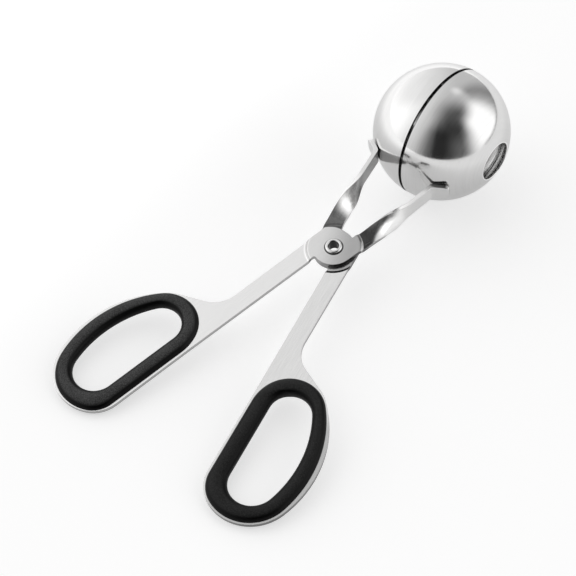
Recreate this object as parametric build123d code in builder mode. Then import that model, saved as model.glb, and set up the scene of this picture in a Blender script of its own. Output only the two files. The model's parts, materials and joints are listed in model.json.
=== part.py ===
"""Meatball maker: two identical sheet-steel arms crossing at a hollow rivet.

Each arm runs from a finger loop with a moulded grip, over the pivot, to a half ball that it carries
on a bent tab.  The pieces are modelled with the pivot at the origin, the arms in the XY plane and
the ball towards +Y.  At the end the tongs are laid down on a table at z = 0: the ball and the far
ends of the grips touch it.  Lengths are in millimetres, angles in degrees.
"""

from build123d import *
from math import asin, atan2, cos, degrees, hypot, radians, sin, sqrt
import os

# Ball and pivot
pivot_to_ball = 65.0
ball_radius = 25.8
cup_wall = 0.8
rim_gap = 0.7
cup_lean = 2.5
rim_round = 0.25
pole_hole_radius = 7.45
pole_hole_round = 0.2

# Sheet of the arms, and the step that lets the two discs lie one on the other
sheet = 1.5
disc_running_gap = 0.1
disc_radius = 7.6
step_clearance = 1.9
step_run = 1.2
step_bend_radius = 1.2

# Rivet
rivet_bore_radius = 1.95
rivet_wall = 0.5
rivet_running_gap = 0.05
rivet_head_radius = 3.1
rivet_head_height = 1.0
rivet_head_round = 0.6
rivet_mouth_round = 0.45

# Shank, from the disc to the finger loop, in the handle's own frame
handle_half_angle = 11.2
shank_inner = 1.8
shank_outer = 8.7
heel_height = 3.0
heel_radius = 8.45
heel_angle = 15.0
shoulder_rise = 21.6
shoulder_radius = 11.0
crotch_radius = 0.9

# Finger loop and grip, in the handle's own frame: a straight side and five arcs each
grip_side = 3.03
grip_side_top = 66.9
grip_near_radius = 10.84
grip_end_radius = 16.17
grip_far_radius = 39.46
grip_neck_radius = 17.47
grip_arc_angles = (53.0, 102.9, 115.6, 22.3)

# Hole for the fingers, as what it differs from the grip's outline
hole_side_inset = 6.5
hole_top_rise = 0.76
hole_near_inset = 2.73
hole_end_inset = 7.35
hole_far_outset = 2.64
hole_neck_inset = 10.15
hole_arc_angles = (66.8, 93.2, 83.8, 69.3)
steel_edge_showing = 0.8
steel_hole_margin = 1.5
grip_thickness = 4.8
grip_round = 1.4

# Front of the arm: flat, then twisted to stand on edge, then bent into the tab on the cup
front_angle = 13.0
front_width = 6.3
front_land = 1.3
strip_length = 11.0
strip_inset = 2.3
strip_angle = 9.2
strip_height = 6.8
strip_drop = 0.9
twist_steps = 8
tab_angle = 30.0
tab_length = 6.6
tab_bend_radius = 1.5
tab_corner_radius = 2.2

cut_overrun = 1.0

# What follows from the sizes above
disc_lift = (sheet + disc_running_gap) / 2
disc_top = disc_lift + sheet / 2
rivet_radius = rivet_bore_radius + rivet_wall
rivet_hole_radius = rivet_radius + rivet_running_gap
step_start = disc_radius + step_clearance
step_end = step_start + step_run
blank_height = disc_top + cut_overrun

half = radians(handle_half_angle)
heel = radians(heel_angle)
handle = Plane(origin=(0, 0, 0), x_dir=(-cos(half), sin(half), 0), z_dir=(0, 0, -1))


def loop_arcs(near_radius, end_radius, far_radius, neck_radius, angles):
    """Radii and turns of a loop's five arcs, and the length of its straight side.

    The radius at the shoulder and the straight side are what closes the curve.
    """
    near, end, shoulder, neck = angles
    turns = (near, end, 360 - sum(angles), shoulder, neck)
    heading = -90.0
    chords = []
    for turn in turns:
        start, stop = radians(heading), radians(heading + turn)
        chords.append((sin(stop) - sin(start), cos(start) - cos(stop)))
        heading += turn
    radii = [near_radius, end_radius, far_radius, 0, neck_radius]
    open_by = sum(radius * chord[0] for radius, chord in zip(radii, chords))
    radii[3] = -open_by / chords[3][0]
    straight = sum(radius * chord[1] for radius, chord in zip(radii, chords))
    return radii, turns, straight


def loop_outline(side, side_top, straight, radii, turns, grow):
    """Closed outline of a loop, grown outwards, drawn in the handle's frame."""
    top = (side - grow, -side_top)
    Line(top, (side - grow, -side_top - straight))
    point = Vector(side - grow, -side_top - straight)
    heading = Vector(0, -1)
    for radius, turn in zip(radii[:-1], turns[:-1]):
        arc = JernArc(start=point, tangent=heading, radius=radius + grow, arc_size=turn)
        point, heading = arc @ 1, arc % 1
    TangentArc(point, top, tangent=heading)


grip_radii, grip_turns, grip_straight = loop_arcs(
    grip_near_radius, grip_end_radius, grip_far_radius, grip_neck_radius, grip_arc_angles
)
hole_radii, hole_turns, hole_straight = loop_arcs(
    grip_near_radius - hole_near_inset,
    grip_end_radius - hole_end_inset,
    grip_far_radius + hole_far_outset,
    grip_neck_radius - hole_neck_inset,
    hole_arc_angles,
)
hole_side = grip_side + hole_side_inset
hole_side_top = grip_side_top - hole_top_rise
arm_reach = grip_side_top + grip_straight + grip_far_radius

# The shoulder leaves the shank's outer edge at a corner and runs on to the loop as a tangent
shoulder_corner = grip_side_top - shoulder_rise
shoulder_arc_radius = grip_radii[3] + steel_edge_showing
neck_turn = radians(grip_turns[4])
shoulder_start = (
    grip_side + grip_radii[4] * (1 - cos(neck_turn)),
    -grip_side_top + grip_radii[4] * sin(neck_turn),
)
shoulder_centre = (
    shoulder_start[0] + grip_radii[3] * cos(neck_turn),
    shoulder_start[1] - grip_radii[3] * sin(neck_turn),
)
to_centre = (shoulder_centre[0] - shank_outer, shoulder_centre[1] + shoulder_corner)
shoulder_distance = hypot(*to_centre)
shoulder_tangent = sqrt(shoulder_distance**2 - shoulder_arc_radius**2)
shoulder_offset = asin(shoulder_arc_radius / shoulder_distance)
shoulder_heading = atan2(to_centre[1], to_centre[0]) + shoulder_offset
shoulder_end = (
    shank_outer + shoulder_tangent * cos(shoulder_heading),
    -shoulder_corner + shoulder_tangent * sin(shoulder_heading),
)

# Course of the front of the arm, as points on the XY plane of the tongs
front = radians(front_angle)
strip = radians(strip_angle)
tab = radians(tab_angle)
front_flat = step_end + front_land
front_middle = disc_radius - front_width / 2
twist_start = Vector(
    front_middle * cos(front) + front_flat * sin(front),
    front_flat * cos(front) - front_middle * sin(front),
)
tab_middle_radius = ball_radius + sheet / 2
tab_contact = Vector(tab_middle_radius * sin(tab), pivot_to_ball - tab_middle_radius * cos(tab))
twist_end = Vector(tab_contact.X - strip_inset, tab_contact.Y - strip_length, -strip_drop)
strip_direction = Vector(sin(strip), cos(strip))
tab_direction = Vector(cos(tab), sin(tab))
run_to_tab = tab_contact - Vector(twist_end.X, twist_end.Y)
strip_run = (run_to_tab.X * tab_direction.Y - run_to_tab.Y * tab_direction.X) / (
    strip_direction.X * tab_direction.Y - strip_direction.Y * tab_direction.X
)
tab_corner = twist_end + strip_direction * strip_run
tab_end = tab_corner + tab_direction * tab_length


def twist_plane(share):
    """Plane across the arm at a share of the twist: it turns the inner edge up, gently at both ends."""
    eased = share**2 * (3 - 2 * share)
    course = front + (strip - front) * share
    turn = radians(90 * eased)
    middle = twist_start + (twist_end - twist_start) * share
    outwards = (cos(course) * cos(turn), -sin(course) * cos(turn), -sin(turn))
    return Plane(origin=middle, x_dir=outwards, z_dir=(sin(course), cos(course), 0))


# Upper arm: left handle, disc on top, right front
with BuildPart() as arm_upper:
    with BuildSketch(Plane.XZ) as step_profile:
        with BuildLine():
            Polyline(
                (0, disc_lift - sheet / 2),
                (step_start, disc_lift - sheet / 2),
                (step_end, -sheet / 2),
                (arm_reach, -sheet / 2),
                (arm_reach, sheet / 2),
                (step_end, sheet / 2),
                (step_start, disc_lift + sheet / 2),
                (0, disc_lift + sheet / 2),
                close=True,
            )
        make_face()
        bends = step_profile.vertices().filter_by_position(Axis.X, step_start, step_end)
        fillet(bends, radius=step_bend_radius)
    revolve(axis=Axis.Z)

    with BuildSketch(handle) as blank:
        Circle(disc_radius)
        front_place = Location((0, 0, 0), (0, 0, front_angle - handle_half_angle))
        with Locations(front_place * Pos(-front_middle, front_flat / 2)):
            Rectangle(front_width, front_flat)
        heel_corner = (shank_outer, heel_height)
        heel_top = (disc_radius * sin(heel), disc_radius * cos(heel))
        below_crotch = (shank_inner, -disc_radius - crotch_radius)
        loop_side = (grip_side - steel_edge_showing, -grip_side_top)
        outer_corner = (shank_outer, -shoulder_corner)
        with BuildLine():
            RadiusArc(heel_corner, heel_top, -heel_radius)
            Polyline(heel_top, (0, 0), (shank_inner, 0), below_crotch)
            Polyline(below_crotch, loop_side, shoulder_centre)
            Polyline(shoulder_centre, shoulder_end, outer_corner, heel_corner)
        make_face()
        shoulder = blank.vertices().sort_by_distance(outer_corner)[0]
        fillet(shoulder, radius=shoulder_radius)
        crotch_corner = (shank_inner, -sqrt(disc_radius**2 - shank_inner**2))
        crotch = blank.vertices().sort_by_distance(crotch_corner)[0]
        fillet(crotch, radius=crotch_radius)
        with BuildLine():
            loop_outline(
                grip_side, grip_side_top, grip_straight, grip_radii, grip_turns, steel_edge_showing
            )
        make_face()
        with BuildLine():
            loop_outline(
                hole_side, hole_side_top, hole_straight, hole_radii, hole_turns, steel_hole_margin
            )
        make_face(mode=Mode.SUBTRACT)
        Circle(rivet_hole_radius, mode=Mode.SUBTRACT)
    extrude(amount=blank_height, both=True, mode=Mode.INTERSECT)

    for step in range(twist_steps + 1):
        share = step / twist_steps
        with BuildSketch(twist_plane(share)):
            Rectangle(front_width + (strip_height - front_width) * share, sheet)
    loft()

    with BuildLine() as strip_course:
        FilletPolyline(twist_end, tab_corner, tab_end, radius=tab_bend_radius)
    with BuildSketch(twist_plane(1)):
        Rectangle(strip_height, sheet)
    sweep(path=strip_course.wire())
    tab_tip = arm_upper.faces().sort_by_distance(tab_end)[0]
    fillet(tab_tip.edges().filter_by(Axis.Z, reverse=True), radius=tab_corner_radius)

# Lower arm: the same stamping turned over about the line through the pivot and the ball
with BuildPart() as arm_lower:
    add(arm_upper.part, rotation=(0, 180, 0))

# Half ball on the right: a thin shell with a round hole at its pole, its rim leaning a little
lean = radians(cup_lean)
pole_plane = Plane(
    origin=(0, pivot_to_ball, 0), x_dir=(cos(lean), 0, sin(lean)), z_dir=(-sin(lean), 0, cos(lean))
)
with BuildPart() as cup_right:
    with BuildSketch(pole_plane) as cup_profile:
        inner_radius = ball_radius - cup_wall
        rim = rim_gap / 2
        outer_rim = (rim, sqrt(ball_radius**2 - rim**2))
        outer_pole = (sqrt(ball_radius**2 - pole_hole_radius**2), pole_hole_radius)
        inner_rim = (rim, sqrt(inner_radius**2 - rim**2))
        inner_pole = (sqrt(inner_radius**2 - pole_hole_radius**2), pole_hole_radius)
        with BuildLine():
            RadiusArc(outer_rim, outer_pole, ball_radius)
            Line(outer_pole, inner_pole)
            RadiusArc(inner_pole, inner_rim, -inner_radius)
            Line(inner_rim, outer_rim)
        make_face()
        rim_corners = cup_profile.vertices().group_by(Axis.X)[0]
        fillet(rim_corners, radius=rim_round)
        pole_corners = cup_profile.vertices().group_by(Axis.Y)[0]
        fillet(pole_corners, radius=pole_hole_round)
    revolve(axis=Axis(pole_plane.origin, pole_plane.x_dir))

# Half ball on the left
with BuildPart() as cup_left:
    add(cup_right.part, rotation=(0, 180, 0))

# Grip on the left handle: moulded round the inner edge of the steel loop
with BuildPart() as grip_left:
    with BuildSketch(handle):
        with BuildLine():
            loop_outline(grip_side, grip_side_top, grip_straight, grip_radii, grip_turns, 0)
        make_face()
        with BuildLine():
            loop_outline(hole_side, hole_side_top, hole_straight, hole_radii, hole_turns, 0)
        make_face(mode=Mode.SUBTRACT)
    extrude(amount=grip_thickness / 2, both=True)
    faces = grip_left.faces().sort_by(Axis.Z)
    fillet(faces[0].edges() + faces[-1].edges(), radius=grip_round)
    add(arm_upper.part, mode=Mode.SUBTRACT)

# Grip on the right handle
with BuildPart() as grip_right:
    add(grip_left.part, rotation=(0, 180, 0))

# Hollow rivet with a rolled head on each side
with BuildPart() as rivet:
    with BuildSketch(Plane.XZ) as rivet_profile:
        head_top = disc_top + rivet_head_height
        with BuildLine():
            Polyline(
                (rivet_bore_radius, -head_top),
                (rivet_head_radius, -head_top),
                (rivet_head_radius, -disc_top - rivet_running_gap),
                (rivet_radius, -disc_top - rivet_running_gap),
                (rivet_radius, disc_top),
                (rivet_head_radius, disc_top),
                (rivet_head_radius, head_top),
                (rivet_bore_radius, head_top),
                close=True,
            )
        make_face()
        ends = rivet_profile.vertices().group_by(Axis.Y)
        heads = ends[0] + ends[-1]
        fillet(heads.group_by(Axis.X)[-1], radius=rivet_head_round)
        ends = rivet_profile.vertices().group_by(Axis.Y)
        mouths = ends[0] + ends[-1]
        fillet(mouths.group_by(Axis.X)[0], radius=rivet_mouth_round)
    revolve(axis=Axis.Z)

# Lay the tongs down: the ball and the far ends of the grips rest on z = 0
pieces = {
    "arm_upper": arm_upper,
    "arm_lower": arm_lower,
    "cup_right": cup_right,
    "cup_left": cup_left,
    "grip_left": grip_left,
    "grip_right": grip_right,
    "rivet": rivet,
}
grip_end = grip_left.part.bounding_box().min.Y
run = pivot_to_ball - grip_end - grip_round
drop = grip_thickness / 2 - grip_round
rise = ball_radius - grip_round
tilt = asin(rise / hypot(run, drop)) - atan2(drop, run)
tilted = Rotation(degrees(tilt), 0, 0)
box = (tilted * Compound([piece.part for piece in pieces.values()])).bounding_box()
lying = Pos(-box.center().X, -box.center().Y, -box.min.Z) * tilted

os.makedirs("parts", exist_ok=True)
for name, piece in pieces.items():
    piece.part = lying * piece.part
    piece.part.label = name
    export_step(piece.part, f"parts/{name}.step")

print("pivot", lying.position)
print("hinge axis", (0, -sin(tilt), cos(tilt)))
print("ball centre", (lying * Pos(0, pivot_to_ball, 0)).position)
print("tilt", degrees(tilt), "size", box.size)
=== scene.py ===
import json
from math import cos, degrees, radians, sin

import bpy
from mathutils import Matrix, Vector


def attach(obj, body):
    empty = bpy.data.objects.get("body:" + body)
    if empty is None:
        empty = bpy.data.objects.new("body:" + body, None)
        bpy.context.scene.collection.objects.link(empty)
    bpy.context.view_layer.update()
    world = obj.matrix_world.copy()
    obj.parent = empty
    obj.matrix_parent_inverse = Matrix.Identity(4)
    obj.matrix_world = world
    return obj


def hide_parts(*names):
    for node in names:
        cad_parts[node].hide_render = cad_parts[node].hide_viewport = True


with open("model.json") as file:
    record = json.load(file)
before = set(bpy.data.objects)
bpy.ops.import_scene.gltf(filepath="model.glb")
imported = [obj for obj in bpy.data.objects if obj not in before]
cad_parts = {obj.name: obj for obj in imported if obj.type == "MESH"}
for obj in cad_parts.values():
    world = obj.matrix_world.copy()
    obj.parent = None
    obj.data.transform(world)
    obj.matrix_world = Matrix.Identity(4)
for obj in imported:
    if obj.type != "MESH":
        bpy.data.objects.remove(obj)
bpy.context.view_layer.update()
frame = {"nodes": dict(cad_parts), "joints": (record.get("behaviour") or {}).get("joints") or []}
scene = bpy.context.scene
scene.view_settings.view_transform = "Standard"

# The tongs' own frame: the pivot, and the directions across the tongs, along them to the ball, and up the rivet.
hinge = frame["joints"][0]
pivot = Vector(hinge["pos_m"])
hinge_axis = Vector(hinge["axis"]).normalized()
across = Vector((1, 0, 0))
along = hinge_axis.cross(across)

# Measures of the tongs, in millimetres and radians, as the CAD has them.
HALF_ANGLE = radians(11.2)
CUP_LEAN = radians(2.5)
TO_BALL = 65.0
CUP_INSIDE = 25.0
TWIST_START, TWIST_END, TWIST_DEGREES = 10.69, 31.0, 90.0
STRIP_SIDE, STRIP_SLOPE = 7.04, 0.1937

# Camera: the pivot's pixel and distance in metres, and how the tongs lie in the view.
PHOTO_PX = 576
SENSOR_MM = 36
FOCAL_PX = 1635.142
PIVOT_PX = (333.981, 249.188)
DISTANCE = 0.590342
ELEVATION = radians(58.019)
TURN = radians(42.914)
ROLL = radians(-9.125)


def place_camera():
    level_right = sin(TURN) * across + cos(TURN) * along
    away = -cos(TURN) * across + sin(TURN) * along
    rise = sin(ELEVATION) * away + cos(ELEVATION) * hinge_axis
    back = -cos(ELEVATION) * away + sin(ELEVATION) * hinge_axis
    right = cos(ROLL) * level_right + sin(ROLL) * rise
    up = -sin(ROLL) * level_right + cos(ROLL) * rise
    over, down = ((pixel - PHOTO_PX / 2) / FOCAL_PX for pixel in PIVOT_PX)
    to_pivot = over * right - down * up - back

    data = bpy.data.cameras.new("camera")
    data.sensor_fit = "HORIZONTAL"
    data.sensor_width = SENSOR_MM
    data.lens = SENSOR_MM * FOCAL_PX / PHOTO_PX
    data.clip_start = 0.01
    data.clip_end = 50
    camera = bpy.data.objects.new("camera", data)
    scene.collection.objects.link(camera)
    turned = Matrix((right, up, back)).transposed().to_4x4()
    camera.matrix_world = Matrix.Translation(pivot - DISTANCE * to_pivot) @ turned
    return camera


bpy.context.scene.camera = place_camera()


class Nodes:
    """A node tree with short calls: add a node, set its inputs, and link what is a socket."""

    def __init__(self, owner):
        owner.use_nodes = True
        self.tree = owner.node_tree
        self.tree.nodes.clear()

    def add(self, kind, props=None, **inputs):
        """Add a node. An input goes by its name, with _ for each space, or by its number: i0, i1 and so on."""
        node = self.tree.nodes.new(kind)
        for key, value in (props or {}).items():
            setattr(node, key, value)
        for key, value in inputs.items():
            numbered = key[0] == "i" and key[1:].isdigit()
            self.put(node, int(key[1:]) if numbered else key.replace("_", " "), value)
        return node

    def put(self, node, key, value):
        socket = node.inputs[key]
        if isinstance(value, bpy.types.NodeSocket):
            self.tree.links.new(value, socket)
        else:
            socket.default_value = value

    def math(self, operation, a, b=None, clamp=False):
        node = self.add("ShaderNodeMath", {"operation": operation, "use_clamp": clamp}, i0=a)
        if b is not None:
            self.put(node, 1, b)
        return node.outputs[0]

    def product(self, first, *others):
        for value in others:
            first = self.math("MULTIPLY", first, value)
        return first

    def length(self, a, b):
        return self.math("SQRT", self.math("ADD", self.product(a, a), self.product(b, b)))

    def span(self, value, low, high, to_low=0.0, to_high=1.0):
        """A smooth step from to_low to to_high, as the value goes from low to high."""
        node = self.add(
            "ShaderNodeMapRange", {"interpolation_type": "SMOOTHSTEP", "clamp": True},
            Value=value, From_Min=low, From_Max=high, To_Min=to_low, To_Max=to_high,
        )
        return node.outputs[0]

    def curve(self, value, points):
        """A smooth curve through points whose two coordinates lie between 0 and 1."""
        node = self.add("ShaderNodeFloatCurve", Value=value)
        line = node.mapping.curves[0]
        line.points[0].location = points[0]
        line.points[1].location = points[-1]
        for point in points[1:-1]:
            line.points.new(*point)
        node.mapping.update()
        return node.outputs[0]

    def noise(self, vector, scale, detail=3.0, roughness=0.5):
        node = self.add("ShaderNodeTexNoise", Vector=vector, Scale=scale, Detail=detail, Roughness=roughness)
        return node.outputs["Fac"]

    def stretched(self, vector, scale, rotation=(0, 0, 0)):
        turned = self.add("ShaderNodeMapping", {"vector_type": "POINT"}, Vector=vector, Rotation=rotation)
        scaled = self.add("ShaderNodeMapping", {"vector_type": "POINT"}, Vector=turned.outputs[0], Scale=scale)
        return scaled.outputs[0]

    def vector(self, operation, a, b):
        return self.add("ShaderNodeVectorMath", {"operation": operation}, i0=a, i1=tuple(b)).outputs

    def dot(self, vector, direction):
        return self.vector("DOT_PRODUCT", vector, direction)["Value"]

    def blend(self, share, a, b, blend_type="MIX"):
        node = self.add("ShaderNodeMix", {"data_type": "RGBA", "blend_type": blend_type}, i0=share, i6=a, i7=b)
        return node.outputs[2]

    def between(self, share, a, b):
        return self.add("ShaderNodeMix", {"data_type": "FLOAT"}, i0=share, i2=a, i3=b).outputs[0]

    def place(self):
        return self.add("ShaderNodeTexCoord").outputs["Object"]

    def skin_normal(self):
        return self.add("ShaderNodeNewGeometry").outputs["Normal"]

    def from_pivot(self):
        """The shaded point in the tongs' own frame: across, along and up from the pivot, in millimetres."""
        offset = self.vector("SUBTRACT", self.place(), pivot)[0]
        offset = self.add("ShaderNodeVectorMath", {"operation": "SCALE"}, i0=offset, Scale=1000.0).outputs[0]
        return self.dot(offset, across), self.dot(offset, along), self.dot(offset, hinge_axis)

    def turned_with_part(self, direction, kind):
        """A direction of the resting part, turned as the part is turned in a pose."""
        node = self.add(
            "ShaderNodeVectorTransform", {"vector_type": kind, "convert_from": "OBJECT", "convert_to": "WORLD"},
            Vector=tuple(direction),
        )
        return node.outputs[0]


def grey(value, warmth=0.0):
    return (value * (1 + warmth), value, value * (1 - warmth), 1.0)


# Lean of a front strip's skin from level, in degrees, against the distance ahead of the pivot.
LEAN = (
    (6, 23), (10, 25), (12, 27), (13, 30), (14, 35), (15, 42), (16, 48),
    (18, 55), (20, 59), (22, 62), (24, 66), (27, 76), (31, 90), (36, 90),
)
LEAN_FROM, LEAN_LENGTH = LEAN[0][0], LEAN[-1][0] - LEAN[0][0]


def wrung(n, normal, start, late, skew, pitch, level):
    """Turn the shading normal of a front strip, because the real one isn't an even screw.

    From start on, the distance from the pivot where it leaves the disc, it follows LEAN, late millimetres
    further ahead, and with skew sooner at its outer edge. pitch dips its foot forward, in degrees, and level
    flattens the step there.
    """
    x, y, z = n.from_pivot()
    radius = n.length(x, y)
    middle = n.math("ADD", n.product(n.math("SUBTRACT", y, TWIST_START), STRIP_SLOPE), STRIP_SIDE)
    beside = n.math("SUBTRACT", n.math("ABSOLUTE", x), middle)
    reach = n.math("ADD", n.math("SUBTRACT", y, late), n.product(beside, skew))
    share = n.math("DIVIDE", n.math("SUBTRACT", reach, LEAN_FROM), LEAN_LENGTH, clamp=True)
    wanted = n.product(n.curve(share, [((a - LEAN_FROM) / LEAN_LENGTH, b / 100) for a, b in LEAN]), 100.0)
    extra = n.math("SUBTRACT", wanted, n.span(y, TWIST_START, TWIST_END, 0.0, TWIST_DEGREES))
    begun = n.product(n.span(radius, start, start + 0.6), n.span(y, 3.0, 4.5))
    extra = n.product(extra, begun, n.span(y, 33.0, 25.0))
    dip = n.product(n.span(reach, 13.0, 9.0, 0.0, pitch), begun)
    if level:
        nearly_flat = n.span(n.dot(n.skin_normal(), hinge_axis), 0.45, 0.6)
        smoothed = n.product(nearly_flat, n.span(y, 3.0, 4.0), n.span(radius, 12.4, 11.4))
        flat = n.turned_with_part(hinge_axis, "NORMAL")
        normal = n.add("ShaderNodeMix", {"data_type": "VECTOR"}, i0=smoothed, i4=normal, i5=flat).outputs[1]
    for turn, line in ((dip, across), (extra, along)):
        normal = n.add(
            "ShaderNodeVectorRotate", Vector=normal, Axis=n.turned_with_part(line, "VECTOR"),
            Angle=n.math("RADIANS", turn),
        ).outputs[0]
    return normal


def steel(name, light, dark, roughness, grain, bevel, depth, turn=0.0, strip=None, shade=None, wear_and_painted_light=None):
    """Ground steel: long fine scratches along one way, soft blotches, and edges broken by a small bevel.

    grain is the scratches' frequency per metre along x, y and z after a turn about z. bevel and depth, of the
    scratches, are in metres. shade gives the share of painted shade, near black. The last argument is a factor on
    the colour: painted shade on the arms, and on the cups the rings left by spinning and a painted highlight.
    """
    material = bpy.data.materials.new(name)
    n = Nodes(material)
    place = n.place()
    rotation = (0, 0, turn)
    lines = n.noise(n.stretched(place, grain, rotation), 1.0, 4.0, 0.62)
    fine = n.noise(n.stretched(place, tuple(2.7 * g for g in grain), rotation), 1.0, 2.0)
    streak = n.math("ADD", n.product(lines, 0.65), n.product(fine, 0.35))
    blotch = n.span(n.noise(place, 70.0), 0.3, 0.7, -0.03, 0.03)
    rough = n.math("ADD", n.span(streak, 0.3, 0.7, roughness - 0.035, roughness + 0.035), blotch)
    colour = n.blend(n.span(streak, 0.3, 0.7), grey(dark, 0.004), grey(light, 0.004))
    edge = n.add("ShaderNodeBevel", {"samples": 6}, Radius=bevel).outputs[0]
    if strip is not None:
        edge = wrung(n, edge, **strip)
    # Painted shade: darkens the colour towards near black.
    if shade is not None:
        colour = n.blend(shade(n), colour, grey(0.02))
    # Painted shade and painted highlights, and on the cups their rings, as a factor on the colour.
    if wear_and_painted_light is not None:
        colour = n.blend(1.0, colour, wear_and_painted_light(n), "MULTIPLY")
    bump = n.add("ShaderNodeBump", Strength=1.0, Distance=depth, Height=streak, Normal=edge).outputs[0]
    shader = n.add("ShaderNodeBsdfPrincipled", Base_Color=colour, Metallic=1.0, Roughness=rough, Normal=bump)
    n.add("ShaderNodeOutputMaterial", Surface=shader.outputs[0])
    return material


def moulded(name):
    """Black moulded plastic with a fine spark-eroded skin, black walls and a painted sheen: a speckled grey crown.
    """
    material = bpy.data.materials.new(name)
    n = Nodes(material)
    place = n.place()
    skin = n.noise(place, 2600.0, 3.0, 0.6)
    clouds = n.noise(place, 90.0)
    x, y, z = n.from_pivot()
    # Painted sheen: faces turned up to the crown are painted grey.
    crown_painted_sheen = n.span(n.dot(n.skin_normal(), hinge_axis), 0.78, 0.98)
    speckle = n.math("ADD", n.span(skin, 0.38, 0.66, 0.45, 1.1), n.span(clouds, 0.3, 0.7, -0.1, 0.1))
    # Painted sheen: the left grip is painted greyer than the right one.
    left_painted_sheen = n.span(x, 5.0, -5.0, 0.32, 1.0)
    # The painted sheen, speckled by the skin and clouds.
    speckled_painted_sheen = n.math("MULTIPLY", n.product(crown_painted_sheen, speckle), left_painted_sheen, clamp=True)
    colour = n.blend(speckled_painted_sheen, grey(0.0006), grey(0.0800))
    rough = n.math("ADD", n.span(skin, 0.3, 0.7, 0.36, 0.44), n.span(clouds, 0.3, 0.7, -0.03, 0.03))
    bump = n.add("ShaderNodeBump", Strength=1.0, Distance=0.000012, Height=skin).outputs[0]
    shader = n.add("ShaderNodeBsdfPrincipled", Base_Color=colour, Roughness=rough, Normal=bump)
    n.put(shader, "Specular IOR Level", 0.14)
    n.add("ShaderNodeOutputMaterial", Surface=shader.outputs[0])
    return material


def in_ball(n):
    """The shaded point in the ball: distance from the seam, from the centre and from the axis of the poles."""
    x, y, z = n.from_pivot()
    ahead = n.math("SUBTRACT", y, TO_BALL)
    plane = n.math("ADD", n.product(x, cos(CUP_LEAN)), n.product(z, sin(CUP_LEAN)))
    squares = n.product(x, x)
    for value in (ahead, z):
        squares = n.math("ADD", squares, n.product(value, value))
    off_axis = n.math("SQRT", n.math("MAXIMUM", n.math("SUBTRACT", squares, n.product(plane, plane)), 0.0))
    return n.math("ABSOLUTE", plane), n.math("SQRT", squares), off_axis


def seam_shade(n):
    """Painted shade: the cups' rims, and the cups' inside next to them, are painted dark in the gap between the
    two.
    """
    plane, from_centre, off_axis = in_ball(n)
    inside = n.product(n.span(from_centre, CUP_INSIDE + 0.5, CUP_INSIDE + 0.3), n.span(plane, 2.5, 1.2))
    return n.math("MAXIMUM", n.span(plane, 0.68, 0.58), inside)


def cup_rings_and_painted_highlight(n):
    """Rings left by spinning inside the cups, and a painted highlight on the lip of the pole hole."""
    plane, from_centre, off_axis = in_ball(n)
    rings = n.noise(n.stretched(n.place(), (1100, 12, 12)), 1.0, 2.0)
    inside = n.span(from_centre, CUP_INSIDE + 0.6, CUP_INSIDE + 0.3)
    outside = n.span(from_centre, CUP_INSIDE + 0.5, CUP_INSIDE + 0.65)
    dull = n.product(inside, n.span(rings, 0.42, 0.58, -0.42, 0.24))
    # Painted highlight: a brighter band round the lip of the pole hole.
    lip = n.product(n.span(off_axis, 8.1, 7.8), outside, 0.3)
    return n.math("ADD", n.math("SUBTRACT", 1.0, dull), lip)


def bore_shade(n):
    """Painted shade inside the hollow rivet: its bore is painted near black."""
    x, y, z = n.from_pivot()
    return n.span(n.length(x, y), 2.1, 1.97)


def arm_painted_shade(n):
    """Painted shade on an arm, each place with the share of the colour that is lost there, and darker side faces by
    the handles. Millimetres from the pivot.
    """
    x, y, z = n.from_pivot()
    radius = n.length(x, y)
    skin = n.skin_normal()
    facing = n.math("ABSOLUTE", n.dot(skin, hinge_axis))
    edge_on = n.span(facing, 0.55, 0.25)
    to_right = n.math("ADD", n.product(x, 0.91), n.product(y, 0.41))
    # Painted shade: the disc is darker towards its right.
    disc = n.product(n.span(radius, 10.2, 9.8), n.span(to_right, -7.0, 7.0, 0.12, 0.48))
    # Painted shade round the foot of the rivet's head.
    rivet_foot_painted_shade = n.product(n.span(radius, 3.65, 3.35), 0.75)
    # Painted shade in the step round the disc, on the handles' side.
    step = n.product(n.span(radius, 9.5, 9.8), n.span(radius, 10.6, 10.3), n.span(y, 2.0, 0.0, 0.0, 0.4))
    # The side faces by the handles are darker.
    handle_sides_darker = n.product(edge_on, n.span(y, 9.0, 6.0, 0.0, 0.42))
    # Painted shadow on the right tab's face.
    right_tab_painted_shadow = n.product(n.span(facing, 0.55, 0.8), n.span(y, 41.0, 42.0, 0.0, 0.7), n.span(x, 0.0, 3.0))
    # Painted shade on the right tab's edges.
    tab_edge_painted_shade = n.product(edge_on, n.span(y, 40.0, 42.0), n.span(x, 0.0, 3.0, 0.0, 0.16))
    # Painted shade on the left front strip where it faces across, 16 to 26 mm ahead.
    left_strip_painted_shade = n.product(
        n.span(n.dot(skin, across), 0.3, 0.7), n.span(x, 0.0, -3.0), n.span(y, 16.0, 26.0, 0.0, 0.5),
    )
    # Painted shade at the foot of the right front strip.
    right_strip_painted_shade = n.product(
        n.span(radius, 10.4, 11.0), n.span(y, 18.0, 13.0), n.span(x, 2.0, 4.0, 0.0, 0.40), n.span(y, 3.0, 4.5),
    )
    # Painted shade in the crease round the disc, on the strips' side.
    crease_painted_shade = n.product(n.span(radius, 10.1, 10.4), n.span(radius, 11.0, 10.7), n.span(y, 2.5, 4.0, 0.0, 0.25))
    # Painted shade on the right loop's rim round its grip.
    right_rim_painted_shade = n.product(n.span(x, 24.0, 31.0), n.span(y, -52.0, -60.0, 0.0, 0.33))
    left_over = 1.0
    for lost in (disc, rivet_foot_painted_shade, step, handle_sides_darker, right_tab_painted_shadow, left_strip_painted_shade, right_strip_painted_shade, crease_painted_shade, tab_edge_painted_shade, right_rim_painted_shade):
        left_over = n.math("SUBTRACT", left_over, lost)
    return n.math("MAXIMUM", left_over, 0.1)


def dress(node, material):
    for slot in frame["nodes"][node].material_slots:
        slot.material = material


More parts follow.
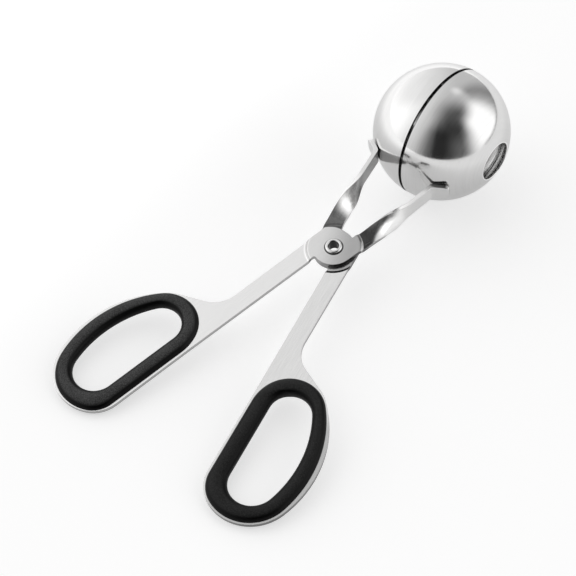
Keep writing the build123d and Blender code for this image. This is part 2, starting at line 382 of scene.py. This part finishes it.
dress("arm_upper", steel(
    "arm_steel_upper", 0.93, 0.87, roughness=0.22, grain=(2600, 55, 900), bevel=0.00022, depth=0.000003,
    turn=HALF_ANGLE, wear_and_painted_light=arm_painted_shade, strip=dict(start=10.3, late=4.0, skew=1.6, pitch=24.0, level=False),
))
# Painted shade: the lower arm is the same steel as the upper one, painted darker.
dress("arm_lower", steel(
    "arm_steel_lower_painted_darker", 0.88, 0.80, roughness=0.22, grain=(2600, 55, 900), bevel=0.00022, depth=0.000003,
    turn=-HALF_ANGLE, wear_and_painted_light=arm_painted_shade, strip=dict(start=4.0, late=2.0, skew=0.0, pitch=8.0, level=True),
))
for hand in ("right", "left"):
    dress(f"cup_{hand}", steel(
        f"ball_steel_{hand}", 0.755, 0.705, roughness=0.12, grain=(1900, 40, 40), bevel=0.0003, depth=0.0000012,
        shade=seam_shade, wear_and_painted_light=cup_rings_and_painted_highlight,
    ))
dress("rivet", steel(
    "rivet_steel", 0.82, 0.72, roughness=0.16, grain=(900, 900, 900), bevel=0.0002, depth=0.000004,
    shade=bore_shade,
))
plastic = moulded("grip_plastic")
for hand in ("left", "right"):
    dress(f"grip_{hand}", plastic)

# Grips: each is a crowned ring moulded on the steel loop, with the CAD solid's outlines to within 0.8 mm.
# An outline is its straight side's place across and its upper end, then four radii and four of its five turns.
CROWN_HEIGHT, CROWN_POWER = 2.9, 2.1
UNDERSIDE_HEIGHT, UNDERSIDE_POWER = 2.4, 2.35
SECTION_POINTS = 36
STATIONS = (26, 16, 34, 34, 34, 14)
HOLE = (9.53, 66.14, (8.11, 8.82, 42.1, 7.32), (66.8, 93.2, 83.8, 69.3))
OUTLINES = {
    "left": (2.98, 67.2, (9.95, 16.36, 41.6, 17.04), (55.5, 100.6, 120.2, 23.3)),
    "right": (2.9, 67.04, (11.23, 16.29, 44.51, 16.31), (56.19, 104.51, 122.9, 22.94)),
}


def loop_points(across_mm, top, radii, angles):
    """Points round a loop: its straight side and its five arcs, each with its own number of stations."""
    near, end, shoulder, neck = angles
    turns = [radians(a) for a in (near, end, 360 - sum(angles), shoulder, neck)]
    heads = [radians(-90)]
    for turn in turns:
        heads.append(heads[-1] + turn)
    chords = [(sin(b) - sin(a), cos(a) - cos(b)) for a, b in zip(heads, heads[1:])]
    # The fourth radius and the straight side's length close the loop.
    r = [radii[0], radii[1], radii[2], 0.0, radii[3]]
    r[3] = -sum(radius * chord[0] for radius, chord in zip(r, chords)) / chords[3][0]
    straight = sum(radius * chord[1] for radius, chord in zip(r, chords))
    points = [Vector((across_mm, -top - straight * k / STATIONS[0])) for k in range(STATIONS[0])]
    spot = Vector((across_mm, -top - straight))
    for radius, turn, head, count in zip(r, turns, heads, STATIONS[1:]):
        for k in range(count):
            now = head + turn * k / count
            points.append(spot + radius * Vector((sin(now) - sin(head), cos(head) - cos(now))))
        last = head + turn
        spot = spot + radius * Vector((sin(last) - sin(head), cos(head) - cos(last)))
    return points


def crown():
    """Closed section of the ring: share of the way from its outer to its inner edge, and height."""
    section = []
    for k in range(SECTION_POINTS):
        a = radians(360 * k / SECTION_POINTS)
        c, s = cos(a), sin(a)
        power, height = (CROWN_POWER, CROWN_HEIGHT) if s > 0 else (UNDERSIDE_POWER, -UNDERSIDE_HEIGHT)
        outward = (1 if c > 0 else -1) * abs(c) ** (2 / power)
        section.append((0.5 - 0.5 * outward, height * abs(s) ** (2 / power)))
    return section


def grip(name, hand, outline):
    """The ring between a loop's outline and its hole. hand is -1 for the left loop and 1 for the right one."""
    section = crown()
    c, s = cos(HALF_ANGLE), sin(HALF_ANGLE)
    outer, inner = loop_points(*outline), loop_points(*HOLE)
    verts, faces = [], []
    for o, i in zip(outer, inner):
        for share, height in section:
            q = o.lerp(i, share)
            x, y = hand * (q.x * c - q.y * s), q.x * s + q.y * c
            verts.append(pivot + (across * x + along * y + hinge_axis * height) / 1000)
    rings, m = len(outer), len(section)
    for a in range(rings):
        b_ring = (a + 1) % rings
        for k in range(m):
            k_next = (k + 1) % m
            quad = (a * m + k, a * m + k_next, b_ring * m + k_next, b_ring * m + k)
            faces.append(quad if hand > 0 else quad[::-1])
    mesh = bpy.data.meshes.new(name)
    mesh.from_pydata(verts, [], faces)
    mesh.polygons.foreach_set("use_smooth", [True] * len(faces))
    mesh.materials.append(plastic)
    piece = bpy.data.objects.new(name, mesh)
    scene.collection.objects.link(piece)
    smooth = piece.modifiers.new("smooth", "SUBSURF")
    smooth.levels = smooth.render_levels = 1
    return piece


for name, hand, body in (("left", -1, "upper_half"), ("right", 1, "lower_half")):
    piece = grip(f"grip_{name}_crowned", hand, OUTLINES[name])
    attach(piece, body)
    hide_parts(f"grip_{name}")

# Floor: pale paper that keeps the tongs' shadow. The camera and the polished steel see it glow, and nothing else
# is lit by it. In the steel it glows less near the tongs, and both see it glow more far off to the left.
FLOOR_HALF = 3.0
PAPER, CAMERA_GLOW = 0.6, 0.57
NEAR_GLOW = (0.03, 0.14, 0.32, 0.54)
LEFT_GLOW = (-0.05, -0.20, 0.0, 0.3)


def floor_paper():
    material = bpy.data.materials.new("floor_white")
    n = Nodes(material)
    ray = n.add("ShaderNodeLightPath").outputs
    mirrored = n.math("ADD", ray["Is Glossy Ray"], ray["Is Transmission Ray"], clamp=True)
    seen = n.math("ADD", ray["Is Camera Ray"], mirrored, clamp=True)
    place = n.place()
    apart = n.add(
        "ShaderNodeVectorMath", {"operation": "LENGTH"}, i0=n.vector("MULTIPLY", place, (1, 0.5, 0))[0],
    ).outputs["Value"]
    near = n.product(mirrored, n.span(apart, *NEAR_GLOW))
    left = n.product(seen, n.span(n.add("ShaderNodeSeparateXYZ", Vector=place).outputs["X"], *LEFT_GLOW))
    strength = n.math("ADD", n.math("ADD", n.product(ray["Is Camera Ray"], CAMERA_GLOW), near), left)
    paper = n.add("ShaderNodeBsdfDiffuse", Color=grey(PAPER))
    glow = n.add("ShaderNodeEmission", Color=grey(1.0), Strength=strength)
    both = n.add("ShaderNodeAddShader", i0=paper.outputs[0], i1=glow.outputs[0])
    n.add("ShaderNodeOutputMaterial", Surface=both.outputs[0])
    return material


floor_mesh = bpy.data.meshes.new("floor")
corners = [(x * FLOOR_HALF, y * FLOOR_HALF, 0) for x, y in ((-1, -1), (1, -1), (1, 1), (-1, 1))]
floor_mesh.from_pydata(corners, [], [(0, 1, 2, 3)])
floor_mesh.materials.append(floor_paper())
floor = bpy.data.objects.new("floor", floor_mesh)
scene.collection.objects.link(floor)

# Light: a plain studio of soft lamps and panels, in the world. Between the lit ones is the unlit wall and ceiling
# that the polished steel mirrors as its dark patch. The rows are laid over each other in this order, in degrees.
# lamp: azimuth, elevation, inner and outer angle, strength, share.
# panel: first azimuth and its softness, last azimuth and its softness, top and its softness, strength, share.
ROOM_LEVEL = 0.66
ROOM = (
    ("lamp", -171, 9, 19, 80, 1.45, 1.00),
    ("lamp", 161, 37, 16, 46, 0.85, 0.55),
    ("lamp", -13, 60, 11, 46, 0.01, 0.85),
    ("panel", -89, 14, -10, 11, 57, 19, 0.01, 0.79),
    ("panel", -72, 6, -37, 17, 56, 19, 0.01, 0.86),
    ("panel", 74, 13, 93, 11, 47, 7, 0.26, 0.90),
    ("lamp", 98, 56, 1, 11, 1.00, 0.97),
    ("panel", 4, 15, 61, 12, 51, 13, 1.40, 1.00),
    ("panel", 14, 12, 96, 12, 2.5, 2.5, 0.30, 0.80),
)
NEARLY_ONE = 0.99999


def studio(world):
    n = Nodes(world)
    direction = n.add("ShaderNodeTexCoord").outputs["Generated"]
    upright = n.add("ShaderNodeSeparateXYZ", Vector=direction).outputs
    azimuth_now = n.product(n.math("ARCTAN2", upright["Y"], upright["X"]), degrees(1))
    height_now = n.product(n.math("ARCSINE", n.product(upright["Z"], NEARLY_ONE)), degrees(1))

    def lamp(azimuth, height, inner, outer, share):
        a, h = radians(azimuth), radians(height)
        facing = n.dot(direction, (cos(h) * cos(a), cos(h) * sin(a), sin(h)))
        angle = n.math("ARCCOSINE", n.product(facing, NEARLY_ONE))
        return n.span(angle, radians(outer), radians(inner), 0.0, share)

    def panel(first, first_soft, last, last_soft, top, top_soft, share):
        return n.product(
            n.span(azimuth_now, first - first_soft, first + first_soft),
            n.span(azimuth_now, last + last_soft, last - last_soft),
            n.span(height_now, top + top_soft, top - top_soft, 0.0, share),
        )

    level = ROOM_LEVEL
    for kind, *row, strength, share in ROOM:
        mask = lamp(*row, share) if kind == "lamp" else panel(*row, share)
        level = n.between(mask, level, strength)
    seen = n.between(n.add("ShaderNodeLightPath").outputs["Is Camera Ray"], level, 1.0)
    shade = n.add("ShaderNodeBackground", Color=grey(1.0), Strength=seen)
    n.add("ShaderNodeOutputWorld", Surface=shade.outputs[0])


scene.world = bpy.data.worlds.new("studio")
studio(scene.world)
